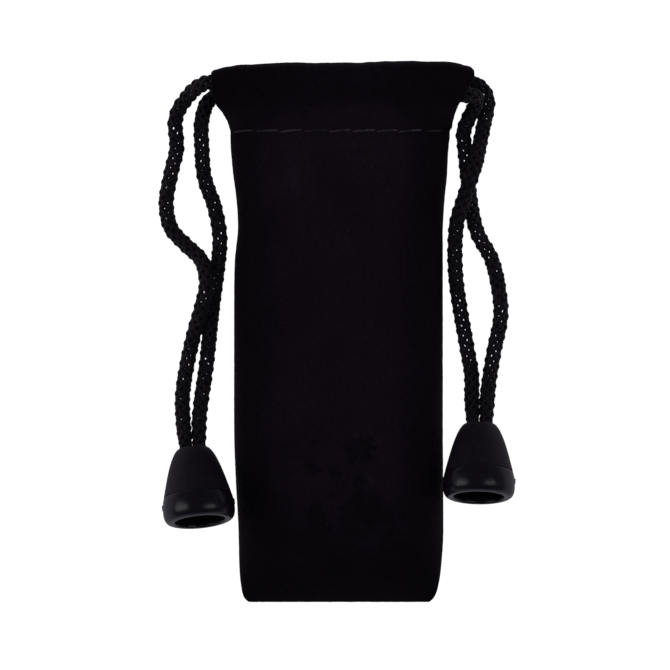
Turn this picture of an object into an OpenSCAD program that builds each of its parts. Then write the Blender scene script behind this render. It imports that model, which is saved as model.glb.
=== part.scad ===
// Soft pouch for glasses, lying flat with its mouth towards +Y.
// A velvet front and back, sewn together at the sides and the bottom, carry a cord casing each at the mouth.
// Two drawcords run through both casings, each leaving at one side and ending in a knot inside a bell.

/* [Pouch] */
// Length from the bottom edge to the fold at the mouth
pouch_length = 180; // [176:1:184]
// Width of the sewn body
body_width = 69; // [66:1:70]
// Width of the flared mouth
mouth_width = 88; // [86:1:90]
// Width across the bottom edge
bottom_width = 64; // [60:1:66]
// Height of the crowned front above the table
body_height = 12; // [11.5:0.5:13]
// Thickness of the velvet
cloth = 0.8; // [0.6:0.1:0.9]

/* [Casing] */
// Depth of the cord casing, from the fold at the mouth to its stitch line
casing_depth = 23; // [21:1:24]
// Height of the gap between the front and the back casing
mouth_gap = 4.5; // [4.2:0.1:5]
// How far each casing's inner layer stops short of the outer one at its ends
facing_cutback = 9; // [8:0.5:10]
// Length of one stitch
stitch_length = 6.8; // [3:0.1:7]
// Distance from one stitch to the next
stitch_pitch = 7.9; // [7.8:0.1:8]
// Thickness of the sewing thread
thread = 0.7; // [0.4:0.1:0.8]

/* [Drawcords] */
// Diameter of the cord where it lies free
cord_size = 5; // [4.6:0.1:5]
// Diameter of the cord pressed flat inside the casing
cased_cord_size = 3.6; // [3.2:0.1:3.6]
// Diameter of the cord squeezed in a bell's hole
squeezed_cord_size = 4.2; // [4:0.1:4.2]
// Largest radius of the knot inside a bell
knot_radius = 5.2; // [4.8:0.1:5.2]

/* [Bells] */
// Length of a bell along its own axis
bell_length = 25.2; // [25:0.1:26]
// Largest radius of a bell
bell_radius = 12; // [11.8:0.1:12]
// Radius of the hole that the cord enters by
bell_hole_radius = 4.5; // [4.4:0.1:4.6]
// Thickness of a bell's wall
bell_wall = 1.6; // [1.4:0.1:1.8]
// Radius of the open mouth of the snap ring
ring_mouth_radius = 8.4; // [8.3:0.1:8.6]
// Lean of a bell as it lies on its side, its mouth end the higher
bell_lean = 15; // [14:1:15]

/* [Hidden] */
$fn = 64;

velvet_colour = [0.06, 0.045, 0.065];
thread_colour = [0.35, 0.33, 0.38];
cord_colour = [0.09, 0.08, 0.1];
bell_colour = [0.07, 0.065, 0.085];

// The outline is symmetrical: each row is a distance along the pouch and the half width there.
top_y = pouch_length / 2;
stitch_y = top_y - casing_depth;
seam_width = 1.2;
body_half = body_width / 2;
mouth_half = mouth_width / 2;
bottom_half = bottom_width / 2;
outline = [
    [-top_y, bottom_half - 2.2],
    [-top_y + seam_width, bottom_half - 0.8],
    [-top_y + 4, bottom_half + 0.4],
    [-top_y + 10, body_half - 1.3],
    [-top_y + 30, body_half - 0.4],
    [-top_y + 60, body_half],
    [stitch_y - 22, body_half],
    [stitch_y - 7, body_half + 1.2],
    [stitch_y, body_half + 2],
    [stitch_y + 4, body_half + 3.3],
    [stitch_y + 8, mouth_half - 3.8],
    [stitch_y + 12, mouth_half - 1.2],
    [top_y - 7, mouth_half - 0.2],
    [top_y - 3, mouth_half],
    [top_y - 1, mouth_half - 0.8],
    [top_y, mouth_half - 2],
];
function half_width(y) = lookup(y, outline);

// Rows of grid lines along the pouch, and across it as shares of the half width.
seam_share = 1 - seam_width / body_half;
panel_rows = [
    for (d = [seam_width, 3, 6, 10, 15, 22, 35, 55, 80, 110, 135]) -top_y + d,
    for (d = [12, 9, 6, 3, 0]) stitch_y - d,
];
casing_rows = [for (d = [0, 2, 4, 6, 8, 10, 12, 15]) stitch_y + d, for (d = [5, 3, 2, 1, 0.4, 0]) top_y - d];
across = [for (i = [-10 : 10]) sin(9 * i)];
panel_across = across * seam_share;

// Heights above the table.
layer_gap = 0.1;
edge_height = 2 * cloth + layer_gap;
pinched_edge = 4 * cloth + layer_gap;
channel_height = 4;
casing_height = 2 * cloth + channel_height;
front_low = casing_height + mouth_gap;
fold_radius = casing_height / 2;
least_fold = 0.25;
crown_power = 4;
foot_length = 30;

// A smooth rise from 0 to 1.
function ease(t) = let (c = min(max(t, 0), 1)) c * c * (3 - 2 * c);
// The fold rounds each casing off towards the mouth, and is never quite closed.
function fold(y, r) = max(least_fold, sqrt(max(0, 1 - pow(max(0, y - (top_y - fold_radius)) / r, 2))));
function crown(u) = 1 - pow(min(abs(u) / seam_share, 1), crown_power);
function side_height(y) = edge_height + (pinched_edge - edge_height) * ease((y - stitch_y + 12) / 12);
function foot(y) = 1 - pow(1 - min(max((y + top_y) / foot_length, 0), 1), 2);
function middle_height(y) = edge_height + (body_height - edge_height) * foot(y);
function panel_top(u, y) = side_height(y) + (middle_height(y) - side_height(y)) * crown(u);
// The casing opens out from its stitch line to its full height.
function opened(y) = ease((y - stitch_y) / 9);
function blend(a, b, t) = a * (1 - t) + b * t;
function front_middle(u, y) = blend(panel_top(u, stitch_y) - cloth, front_low + fold_radius, opened(y));
function half_loop(y) = blend(cloth, fold_radius, opened(y));

// A closed solid between two surfaces, each a height over the outline.
module sheet(shares, rows, low, high) {
    n = len(shares);
    m = len(rows);
    last = n * m;
    function at(i, j) = j * n + i;
    function quad(a, b, c, d) = [[a, b, c], [a, c, d]];
    points = [
        for (y = rows) for (u = shares) [u * half_width(y), y, high(u, y)],
        for (y = rows) for (u = shares) [u * half_width(y), y, low(u, y)],
    ];
    faces = [
        for (j = [0 : m - 2]) for (i = [0 : n - 2]) each [
            each quad(at(i, j), at(i, j + 1), at(i + 1, j + 1), at(i + 1, j)),
            each quad(last + at(i, j), last + at(i + 1, j), last + at(i + 1, j + 1), last + at(i, j + 1)),
        ],
        for (i = [0 : n - 2]) each [
            each quad(at(i, 0), at(i + 1, 0), last + at(i + 1, 0), last + at(i, 0)),
            each quad(at(i + 1, m - 1), at(i, m - 1), last + at(i, m - 1), last + at(i + 1, m - 1)),
        ],
        for (j = [0 : m - 2]) each [
            each quad(at(0, j + 1), at(0, j), last + at(0, j), last + at(0, j + 1)),
            each quad(at(n - 1, j), at(n - 1, j + 1), last + at(n - 1, j + 1), last + at(n - 1, j)),
        ],
    ];
    polyhedron(points, faces, convexity = 6);
}

module front_panel() {
    color(velvet_colour)
        sheet(panel_across, panel_rows, function(u, y) panel_top(u, y) - cloth, function(u, y) panel_top(u, y));
}

// The back lies on the table, so it is a flat plate with a true plane below.
module back_panel() {
    right = [for (y = panel_rows) [half_width(y) * seam_share, y]];
    left = [for (i = [len(right) - 1 : -1 : 0]) [-right[i].x, right[i].y]];
    color(velvet_colour)
        linear_extrude(cloth) polygon(concat(right, left));
}

// Room for the cord's turn at both ends of a casing, where the inner layer stops short.
module facing_ends(z, height) {
    x = mouth_half - facing_cutback;
    for (side = [-1, 1])
        translate([side > 0 ? x : -x - facing_cutback - 1, stitch_y + 7, z])
            cube([facing_cutback + 1, casing_depth - 10, height]);
}

channel_rows = [for (d = [3, 5, 7, 9, 12]) stitch_y + d, for (d = [4, 2.6, 2, 1.4]) top_y - d];
channel_across = across * 1.05;

module front_casing() {
    color(velvet_colour)
        difference() {
            sheet(across, casing_rows,
                function(u, y) front_middle(u, y) - half_loop(y) * fold(y, fold_radius),
                function(u, y) front_middle(u, y) + half_loop(y) * fold(y, fold_radius));
            sheet(channel_across, channel_rows,
                function(u, y) front_middle(u, y) - (half_loop(y) - cloth) * fold(y, fold_radius - cloth),
                function(u, y) front_middle(u, y) + (half_loop(y) - cloth) * fold(y, fold_radius - cloth));
            facing_ends(front_low - 4, fold_radius + 3);
        }
}

module back_casing() {
    color(velvet_colour)
        difference() {
            sheet(across, casing_rows,
                function(u, y) half_loop(y) * (1 - fold(y, fold_radius)),
                function(u, y) half_loop(y) * (1 + fold(y, fold_radius)));
            sheet(channel_across, channel_rows,
                function(u, y) half_loop(y) - (half_loop(y) - cloth) * fold(y, fold_radius - cloth),
                function(u, y) half_loop(y) + (half_loop(y) - cloth) * fold(y, fold_radius - cloth));
            facing_ends(fold_radius, fold_radius + 1);
        }
}

// One row of stitches beside the casing's lower edge; each is a short round thread laid along the cloth.
module stitch_row(height) {
    count = floor(2 * half_width(stitch_y) / stitch_pitch);
    for (i = [0 : count - 1]) {
        x = (i - (count - 1) / 2) * stitch_pitch;
        reach = stitch_length / 2;
        low = [x - reach, height(x - reach)];
        high = [x + reach, height(x + reach)];
        slope = atan2(high.y - low.y, high.x - low.x);
        translate([x, stitch_y, (low.y + high.y) / 2])
            rotate([0, 90 - slope, 0])
                cylinder(h = stitch_length, d = thread, center = true, $fn = 16);
    }
}

module front_casing_stitching() {
    color(thread_colour)
        stitch_row(function(x) panel_top(x / half_width(stitch_y), stitch_y));
}

module back_casing_stitching() {
    color(thread_colour)
        stitch_row(function(x) thread / 2);
}

// The turned edge that holds the front and back together, one strip for each side.
module side_seam(side) {
    shares = side > 0 ? [seam_share, 1] : [-1, -seam_share];
    color(velvet_colour)
        sheet(shares, panel_rows, function(u, y) 0, function(u, y) side_height(y));
}

module bottom_seam() {
    color(velvet_colour)
        sheet(across, [-top_y, -top_y + seam_width], function(u, y) 0, function(u, y) edge_height);
}

// The middle of the hole in each bell, and the bell's turn about the vertical.
left_bell_place = [-48.8, -39, 7.1];
right_bell_place = [46.6, -30.9, 7.1];
left_bell_turn = 6;
right_bell_turn = -1;

// Each route runs from its knot along the outer strand, through one casing, round the far corner of the
// mouth, back through the other casing, and down the inner strand to the same knot.
left_route = [
    [-50, -45.3, 8.5], [-51, -39.3, 7.1], [-52.1, -30, 4.5], [-52.3, -21, 2.7], [-50.7, -10.5, 2.5],
    [-48.4, -0.5, 3.7], [-45.9, 8, 6.7], [-44.3, 16, 7.3], [-46, 23.5, 5.4], [-51.5, 29, 2.9],
    [-56.2, 34.3, 2.5], [-57.8, 42.5, 2.5], [-56.1, 53, 2.5], [-54.3, 61, 2.5], [-54.8, 70, 2.5],
    [-53.5, 74, 2.9], [-51.1, 77.4, 4.6], [-48, 80.6, 8.2], [-43.8, 82.6, 11.6], [-38, 83.3, 12.9],
    [0, 83.5, 12.9], [35, 83.5, 12.9], [39.5, 82.7, 11.4], [41.3, 80.7, 7.8], [39.5, 78.8, 4.3],
    [35, 78, 2.8], [0, 78, 2.8], [-37, 78, 2.8], [-43, 77.3, 3.6], [-45.8, 71, 2.8], [-45.9, 61, 2.5],
    [-45, 51, 2.5], [-41.7, 41.5, 2.5], [-39.9, 31, 2.5], [-40.8, 20, 2.5], [-42.4, 8, 2.5],
    [-44.3, -10.5, 2.5], [-46.7, -29, 4.3], [-46.6, -39.3, 7.1], [-46.1, -45.3, 8.5],
];
right_route = [
    [44.4, -37.3, 8.7], [44.4, -31.3, 7.1], [44.1, -22.5, 4.4], [44, -14, 2.6], [42.6, -6, 2.5],
    [39, 16, 2.5], [38.5, 27, 2.5], [39.1, 36, 4.3], [41.2, 43.5, 7.2], [43.6, 50.5, 8.2],
    [45.6, 57, 7], [47, 63.5, 4], [48.2, 69.3, 2.7], [49.4, 76.3, 2.7], [48, 80.2, 3],
    [44.2, 82.9, 3.4], [38, 83.5, 2.8], [0, 83.5, 2.8], [-35, 83.5, 2.8], [-39.5, 82.7, 4.3],
    [-41.3, 80.7, 7.8], [-39.5, 78.8, 11.4], [-35, 78, 12.9], [0, 78, 12.9], [37, 78, 12.9],
    [41.9, 78, 12.6], [45.2, 78, 10], [45.2, 75.4, 7], [43.2, 71.3, 4.3], [41.4, 66.3, 2.7],
    [41.9, 60, 2.5], [44, 41, 2.5], [46.1, 32.5, 2.5], [50.7, 24, 2.5], [53.1, 14, 2.5],
    [53.8, 5, 2.5], [51.5, -7, 2.5], [49.6, -19, 3.4], [48.8, -31.3, 7.1], [48.8, -37.3, 8.7],
];
cord_sides = 8;

function is_cased(p) = abs(p.x) < mouth_half - 2 && p.y > stitch_y + 8;
function is_squeezed(p, bell) = p.y < bell.y + 4;
function cord_width(p, bell) = is_cased(p) ? cased_cord_size : is_squeezed(p, bell) ? squeezed_cord_size : cord_size;
function direction(route, i) =
    let (v = route[min(i + 1, len(route) - 1)] - route[max(i - 1, 0)]) v / norm(v);

// Frames carried along the route, each turned as little as possible from the one before.
function carried(normal, along) = let (v = normal - (normal * along) * along) v / norm(v);
function normals(route) = [
    for (i = 0, n = carried([0, 0, 1], direction(route, 0)); i < len(route);
        i = i + 1, n = i < len(route) ? carried(n, direction(route, i)) : n) n
];

module cord(route, bell) {
    count = len(route);
    up = normals(route);
    rings = [
        for (i = [0 : count - 1])
            let (side = cross(direction(route, i), up[i]), r = cord_width(route[i], bell) / 2)
                for (k = [0 : cord_sides - 1])
                    let (a = 360 * (k + 0.5) / cord_sides) route[i] + r * (cos(a) * side + sin(a) * up[i])
    ];
    walls = [
        for (i = [0 : count - 2]) for (k = [0 : cord_sides - 1])
            let (a = i * cord_sides + k, b = i * cord_sides + (k + 1) % cord_sides)
                each [[a, a + cord_sides, b + cord_sides], [a, b + cord_sides, b]]
    ];
    ends = [
        [for (k = [0 : cord_sides - 1]) k],
        [for (k = [cord_sides - 1 : -1 : 0]) (count - 1) * cord_sides + k],
    ];
    color(cord_colour)
        polyhedron(rings, concat(walls, ends), convexity = 12);
}

module left_drawcord() {
    cord(left_route, left_bell_place);
}

module right_drawcord() {
    cord(right_route, right_bell_place);
}

// A bell's own axis runs from its hole, at 0, to its mouth.
module placed_on_bell(place, turn) {
    translate(place) rotate([90 - bell_lean, 0, turn]) children();
}

knot_start = 4.5;
knot_turn = knot_radius / 2;
knot_length = 3.6 * knot_turn;

module knot() {
    color(cord_colour)
        translate([0, 0, knot_start])
            rotate_extrude($fn = 48) {
                square([knot_turn, knot_length]);
                translate([knot_turn, knot_turn]) circle(knot_turn, $fn = 32);
                translate([knot_turn, knot_length - knot_turn]) circle(knot_turn, $fn = 32);
            }
}

module left_knot() {
    placed_on_bell(left_bell_place, left_bell_turn) knot();
}

module right_knot() {
    placed_on_bell(right_bell_place, right_bell_turn) knot();
}

// Radii along the bell: a rounded shoulder, then a cone that swells to the joint with its ring.
joint_at = 16.6;
skirt_end = 21;
skirt_radius = 10.2;
fit_gap = 0.05;
lug_width = 2.6;
lug_depth = 1.8;
lug_at = 18.6;

module bell() {
    color(bell_colour) {
        rotate_extrude(convexity = 6) polygon([
            [bell_hole_radius, 0],
            [5.3, 0.4],
            [6.6, 2.2],
            [8.3, 5.4],
            [9.9, 9.9],
            [11, 13.7],
            [bell_radius - 0.5, joint_at],
            [skirt_radius, joint_at],
            [skirt_radius, skirt_end],
            [skirt_radius - 1.2, skirt_end],
            [11 - bell_wall, 13.7],
            [9.9 - bell_wall, 9.9],
            [8.3 - bell_wall, 5.4],
            [bell_hole_radius, 2.4],
        ]);
        for (side = [-1, 1])
            translate([side * (skirt_radius + bell_radius) / 2 - (bell_radius - skirt_radius + 0.6) / 2,
                -lug_width / 2, lug_at])
                cube([bell_radius - skirt_radius + 0.6, lug_width, lug_depth]);
    }
}

module snap_ring() {
    color(bell_colour)
        difference() {
            rotate_extrude(convexity = 6) polygon([
                [skirt_radius + fit_gap, joint_at + fit_gap],
                [bell_radius - 0.4, joint_at + fit_gap],
                [bell_radius - 0.2, joint_at + 0.8],
                [bell_radius, joint_at + 3.6],
                [bell_radius, bell_length - 3.6],
                [bell_radius - 0.9, bell_length - 1.1],
                [bell_radius - 2.2, bell_length - 0.1],
                [ring_mouth_radius + 0.4, bell_length],
                [ring_mouth_radius, bell_length - 0.4],
                [ring_mouth_radius, skirt_end + fit_gap],
                [skirt_radius + fit_gap, skirt_end + fit_gap],
            ]);
            translate([-bell_radius - 1, -lug_width / 2 - fit_gap, lug_at - fit_gap])
                cube([2 * bell_radius + 2, lug_width + 2 * fit_gap, lug_depth + 2 * fit_gap]);
        }
}

module left_bell() {
    placed_on_bell(left_bell_place, left_bell_turn) bell();
}

module right_bell() {
    placed_on_bell(right_bell_place, right_bell_turn) bell();
}

module left_snap_ring() {
    placed_on_bell(left_bell_place, left_bell_turn) snap_ring();
}

module right_snap_ring() {
    placed_on_bell(right_bell_place, right_bell_turn) snap_ring();
}

module left_side_seam() {
    side_seam(-1);
}

module right_side_seam() {
    side_seam(1);
}

front_panel();
back_panel();
front_casing();
back_casing();
front_casing_stitching();
back_casing_stitching();
left_side_seam();
right_side_seam();
bottom_seam();
left_drawcord();
right_drawcord();
left_knot();
right_knot();
left_bell();
right_bell();
left_snap_ring();
right_snap_ring();
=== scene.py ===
"""A black velvet drawstring pouch for glasses, lying flat with its two braided cords beside it.

Everything is in metres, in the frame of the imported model: +Y towards the mouth, +Z up from the table.
"""

import math

import bmesh
import bpy
import numpy as np
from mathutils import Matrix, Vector, noise


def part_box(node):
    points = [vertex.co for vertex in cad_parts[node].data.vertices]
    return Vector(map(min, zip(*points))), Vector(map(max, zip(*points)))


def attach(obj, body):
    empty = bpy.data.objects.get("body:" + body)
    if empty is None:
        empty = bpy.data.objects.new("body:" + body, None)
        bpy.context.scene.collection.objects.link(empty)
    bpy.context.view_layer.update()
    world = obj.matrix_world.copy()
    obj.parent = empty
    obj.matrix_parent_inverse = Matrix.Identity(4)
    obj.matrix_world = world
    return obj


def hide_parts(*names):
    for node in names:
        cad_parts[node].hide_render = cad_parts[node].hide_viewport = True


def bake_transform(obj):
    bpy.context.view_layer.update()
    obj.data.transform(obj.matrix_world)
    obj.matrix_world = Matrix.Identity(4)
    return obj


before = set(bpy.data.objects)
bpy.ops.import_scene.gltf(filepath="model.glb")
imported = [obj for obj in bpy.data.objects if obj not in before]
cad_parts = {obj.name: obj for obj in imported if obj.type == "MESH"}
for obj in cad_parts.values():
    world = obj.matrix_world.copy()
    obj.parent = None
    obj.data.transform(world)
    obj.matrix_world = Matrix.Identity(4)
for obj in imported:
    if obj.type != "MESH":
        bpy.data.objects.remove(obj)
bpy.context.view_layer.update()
MM = 0.001
scene = bpy.context.scene

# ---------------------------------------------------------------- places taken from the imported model
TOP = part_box("front_casing")[1].y
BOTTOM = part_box("bottom_seam")[0].y
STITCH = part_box("front_casing")[0].y
MOUTH_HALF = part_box("front_casing")[1].x
BODY_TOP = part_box("front_panel")[1].z
CASING_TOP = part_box("front_casing")[1].z
CASING_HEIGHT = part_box("back_casing")[1].z
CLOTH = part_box("back_panel")[1].z

# ---------------------------------------------------------------- camera
VIEW_WIDTH = 223.8 * MM
CAMERA_HEIGHT = 2.0
CAMERA_MIDDLE = (-1.5 * MM, -1.3 * MM)
SENSOR_WIDTH = 36.0
FARTHEST_SEEN = 20.0
TABLE = -0.3 * MM


def make_camera():
    """Looks straight down on the pouch, with its mouth at the top of the picture."""
    data = bpy.data.cameras.new("camera")
    data.sensor_width = SENSOR_WIDTH
    data.lens = data.sensor_width * (CAMERA_HEIGHT - TABLE) / VIEW_WIDTH
    data.clip_end = FARTHEST_SEEN
    camera = bpy.data.objects.new("camera", data)
    camera.location = (*CAMERA_MIDDLE, CAMERA_HEIGHT)
    scene.collection.objects.link(camera)
    scene.camera = camera


make_camera()


# ---------------------------------------------------------------- mesh helpers
SMALLEST = 1e-12


def mesh_piece(name, points, faces):
    """A smooth-shaded mesh object from numpy points and lists of corner numbers."""
    mesh = bpy.data.meshes.new(name)
    mesh.from_pydata([tuple(p) for p in points], [], [tuple(f) for f in faces])
    mesh.update()
    mesh.shade_smooth()
    piece = bpy.data.objects.new(name, mesh)
    scene.collection.objects.link(piece)
    return piece


def keep_attribute(piece, name, values):
    """Stores one vector for each point, which a material reads by name."""
    layer = piece.data.attributes.new(name, "FLOAT_VECTOR", "POINT")
    layer.data.foreach_set("vector", np.asarray(values, np.float32).ravel())


def grid_faces(rows, columns, first=0, flip=False):
    """Quads over a grid of points numbered row by row."""
    r, c = np.meshgrid(np.arange(rows - 1), np.arange(columns - 1), indexing="ij")
    a = first + r * columns + c
    quads = np.stack([a, a + 1, a + columns + 1, a + columns], -1).reshape(-1, 4)
    return quads[:, ::-1] if flip else quads


def grid_normals(grid):
    """Unit normals of a grid of points, (rows, columns, 3)."""
    along = np.gradient(grid, axis=0)
    across = np.gradient(grid, axis=1)
    return unit(np.cross(across, along))


def face_outwards(piece):
    """Turns every face of a closed piece to look outwards."""
    work = bmesh.new()
    work.from_mesh(piece.data)
    bmesh.ops.recalc_face_normals(work, faces=work.faces)
    work.to_mesh(piece.data)
    work.free()


def unit(v):
    """Vectors of length one, the same way round."""
    return v / np.maximum(np.linalg.norm(v, axis=-1, keepdims=True), SMALLEST)


def ease(t):
    """A soft step from 0 to 1 as t goes from 0 to 1."""
    t = np.clip(t, 0, 1)
    return t * t * (3 - 2 * t)


def mix(a, b, t):
    """A blend from a, where t is 0, to b, where t is 1."""
    return a * (1 - t) + b * t


def smooth_table(x, knots, values):
    """A smooth curve through a few points, with no overshoot (monotone cubic)."""
    knots, values = np.asarray(knots, float), np.asarray(values, float)
    step = np.diff(knots)
    slope = np.diff(values) / step
    tangent = np.concatenate([[slope[0]], (slope[1:] + slope[:-1]) / 2, [slope[-1]]])
    turn = np.concatenate([[False], slope[1:] * slope[:-1] <= 0, [False]])
    tangent[turn] = 0
    for i in range(len(slope)):
        limit = 3 * abs(slope[i])
        tangent[i] = np.clip(tangent[i], -limit, limit)
        tangent[i + 1] = np.clip(tangent[i + 1], -limit, limit)
    x = np.clip(x, knots[0], knots[-1])
    i = np.clip(np.searchsorted(knots, x, side="right") - 1, 0, len(step) - 1)
    t = (x - knots[i]) / step[i]
    return (
        values[i] * (1 + 2 * t) * (1 - t) ** 2
        + step[i] * tangent[i] * t * (1 - t) ** 2
        + values[i + 1] * t * t * (3 - 2 * t)
        + step[i] * tangent[i + 1] * t * t * (t - 1)
    )


# ---------------------------------------------------------------- cords
# Each route runs from its knot along the outer strand, through one casing, round the far corner of the
# mouth, back through the other casing, and down the inner strand to the same knot. Millimetres.
LEFT_ROUTE = [
    (-50, -45.3, 8.5), (-51, -39.3, 7.1), (-52.1, -30, 4.5), (-52.3, -21, 2.7), (-50.7, -10.5, 2.5),
    (-48.4, -0.5, 3.7), (-45.9, 8, 6.7), (-44.3, 16, 7.3), (-46, 23.5, 5.4), (-51.5, 29, 2.9),
    (-56.2, 34.3, 2.5), (-57.8, 42.5, 2.5), (-56.1, 53, 2.5), (-54.3, 61, 2.5), (-54.8, 70, 2.5),
    (-53.5, 74, 2.9), (-51.1, 77.4, 4.6), (-48, 80.6, 8.2), (-43.8, 82.6, 11.6), (-38, 83.3, 12.9),
    (0, 83.5, 12.9), (35, 83.5, 12.9), (39.5, 82.7, 11.4), (41.3, 80.7, 7.8), (39.5, 78.8, 4.3),
    (35, 78, 2.8), (0, 78, 2.8), (-37, 78, 2.8), (-43, 77.3, 3.6), (-45.8, 71, 2.8), (-45.9, 61, 2.5),
    (-45, 51, 2.5), (-41.7, 41.5, 2.5), (-39.9, 31, 2.5), (-40.8, 20, 2.5), (-42.4, 8, 2.5),
    (-44.3, -10.5, 2.5), (-46.7, -29, 4.3), (-46.6, -39.3, 7.1), (-46.1, -45.3, 8.5),
]
RIGHT_ROUTE = [
    (44.4, -37.3, 8.7), (44.4, -31.3, 7.1), (44.1, -22.5, 4.4), (44, -14, 2.6), (42.6, -6, 2.5),
    (39, 16, 2.5), (38.5, 27, 2.5), (39.1, 36, 4.3), (41.2, 43.5, 7.2), (43.6, 50.5, 8.2),
    (45.6, 57, 7), (47, 63.5, 4), (48.2, 69.3, 2.7), (49.4, 76.3, 2.7), (48, 80.2, 3),
    (44.2, 82.9, 3.4), (38, 83.5, 2.8), (0, 83.5, 2.8), (-35, 83.5, 2.8), (-39.5, 82.7, 4.3),
    (-41.3, 80.7, 7.8), (-39.5, 78.8, 11.4), (-35, 78, 12.9), (0, 78, 12.9), (37, 78, 12.9),
    (41.9, 78, 12.6), (45.2, 78, 10), (45.2, 75.4, 7), (43.2, 71.3, 4.3), (41.4, 66.3, 2.7),
    (41.9, 60, 2.5), (44, 41, 2.5), (46.1, 32.5, 2.5), (50.7, 24, 2.5), (53.1, 14, 2.5),
    (53.8, 5, 2.5), (51.5, -7, 2.5), (49.6, -19, 3.4), (48.8, -31.3, 7.1), (48.8, -37.3, 8.7),
]
BELLS = {
    "left": {"hole": np.array([-48.8, -39.0, 7.1]) * MM, "turn": 6.0},
    "right": {"hole": np.array([46.6, -30.9, 7.1]) * MM, "turn": -1.0},
}
# The cord's thickness inside the casings and where two strands enter a bell, as shares of its free thickness,
# and where each of these begins: in from the mouth's sides, up from the stitch line, and up from the hole.
CASED, CASED_IN, CASED_UP = 3.6 / 5, 3 * MM, 7 * MM
SQUEEZED, SQUEEZED_UP = 4.2 / 5, 3 * MM
PRESSED_OVER = 2.5 * MM
# How finely a route is followed: parts between two of its points, and the step along the finished curve.
ROUTE_PARTS = 40
STEP = 0.47 * MM
# The braid: yarns each way, the length of one whole turn, its half width over the crests, and its yarns.
YARNS = 5
PITCH = 16.8 * MM
BRAID_HALF = 2.76 * MM
BRAID_FLATNESS = 0.92
YARN_WIDTH = 1.5 * MM
YARN_THICKNESS = 1.1 * MM
YARN_SIDES = 8
WEAVE_DEPTH = 0.3 * MM
PORE_TURN = math.pi / YARNS / 2
# How uneven the braid is in its twist, in each yarn's place and in each yarn's width, and over what length.
TWIST_DRIFT, TWIST_REACH = 0.12, 22 * MM
YARN_DRIFT, YARN_REACH = 0.1, 9 * MM
WIDTH_DRIFT, WIDTH_REACH = 0.12, 6 * MM
# A yarn's material is told the place around it (about 0 to 1), the place along it in this unit, and its number.
AROUND = 6.3
YARN_MARK = 10 * MM


def smooth_route(route, step):
    """A centripetal Catmull-Rom curve through the route, as points an equal step apart."""
    p = np.array(route, float) * MM
    p = np.vstack([2 * p[0] - p[1], p, 2 * p[-1] - p[-2]])
    t = np.concatenate([[0], np.cumsum(np.linalg.norm(np.diff(p, axis=0), axis=1) ** 0.5)])
    curve = []
    for i in range(1, len(p) - 2):
        s = np.linspace(t[i], t[i + 1], ROUTE_PARTS, endpoint=False)[:, None]

        def between(a, b, i0, i1):
            return (a * (t[i1] - s) + b * (s - t[i0])) / (t[i1] - t[i0])

        a1, a2, a3 = (between(p[k], p[k + 1], k, k + 1) for k in (i - 1, i, i + 1))
        b1, b2 = between(a1, a2, i - 1, i + 1), between(a2, a3, i, i + 2)
        curve.append(between(b1, b2, i, i + 1))
    curve = np.vstack([*curve, p[-2:-1]])
    arc = np.concatenate([[0], np.cumsum(np.linalg.norm(np.diff(curve, axis=0), axis=1))])
    count = int(round(arc[-1] / step)) + 1
    at = np.linspace(0, arc[-1], count)
    points = np.stack([np.interp(at, arc, curve[:, k]) for k in range(3)], 1)
    return points, arc[-1]


def route_frames(points):
    """Two axes across a route: sideways, and as near upright as it can be."""
    along = unit(np.gradient(points, axis=0))
    side = unit(np.cross(along, [0.0, 0.0, 1.0]))
    return side, np.cross(side, along)


def smoothed(values, reach):
    """A running mean, twice over, that keeps the ends."""
    for _ in range(2):
        padded = np.pad(values, reach, mode="edge")
        values = np.convolve(padded, np.ones(2 * reach + 1) / (2 * reach + 1), mode="valid")
    return values


def cord_scale(points, hole):
    """How far the cord is pressed in: flat inside the casing, and squeezed where it enters its bell."""
    x, y = points[:, 0], points[:, 1]
    cased = (abs(x) < MOUTH_HALF - CASED_IN) & (y > STITCH + CASED_UP)
    squeezed = y < hole[1] + SQUEEZED_UP
    scale = np.where(cased, CASED, np.where(squeezed, SQUEEZED, 1.0))
    return smoothed(scale, int(PRESSED_OVER / STEP))


def drift(s, seed, reach):
    """A slow wander along a cord, between about -1 and 1."""
    return np.array([noise.noise((v / reach, seed * 7.7, 0.5)) * 2 for v in s])


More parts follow.
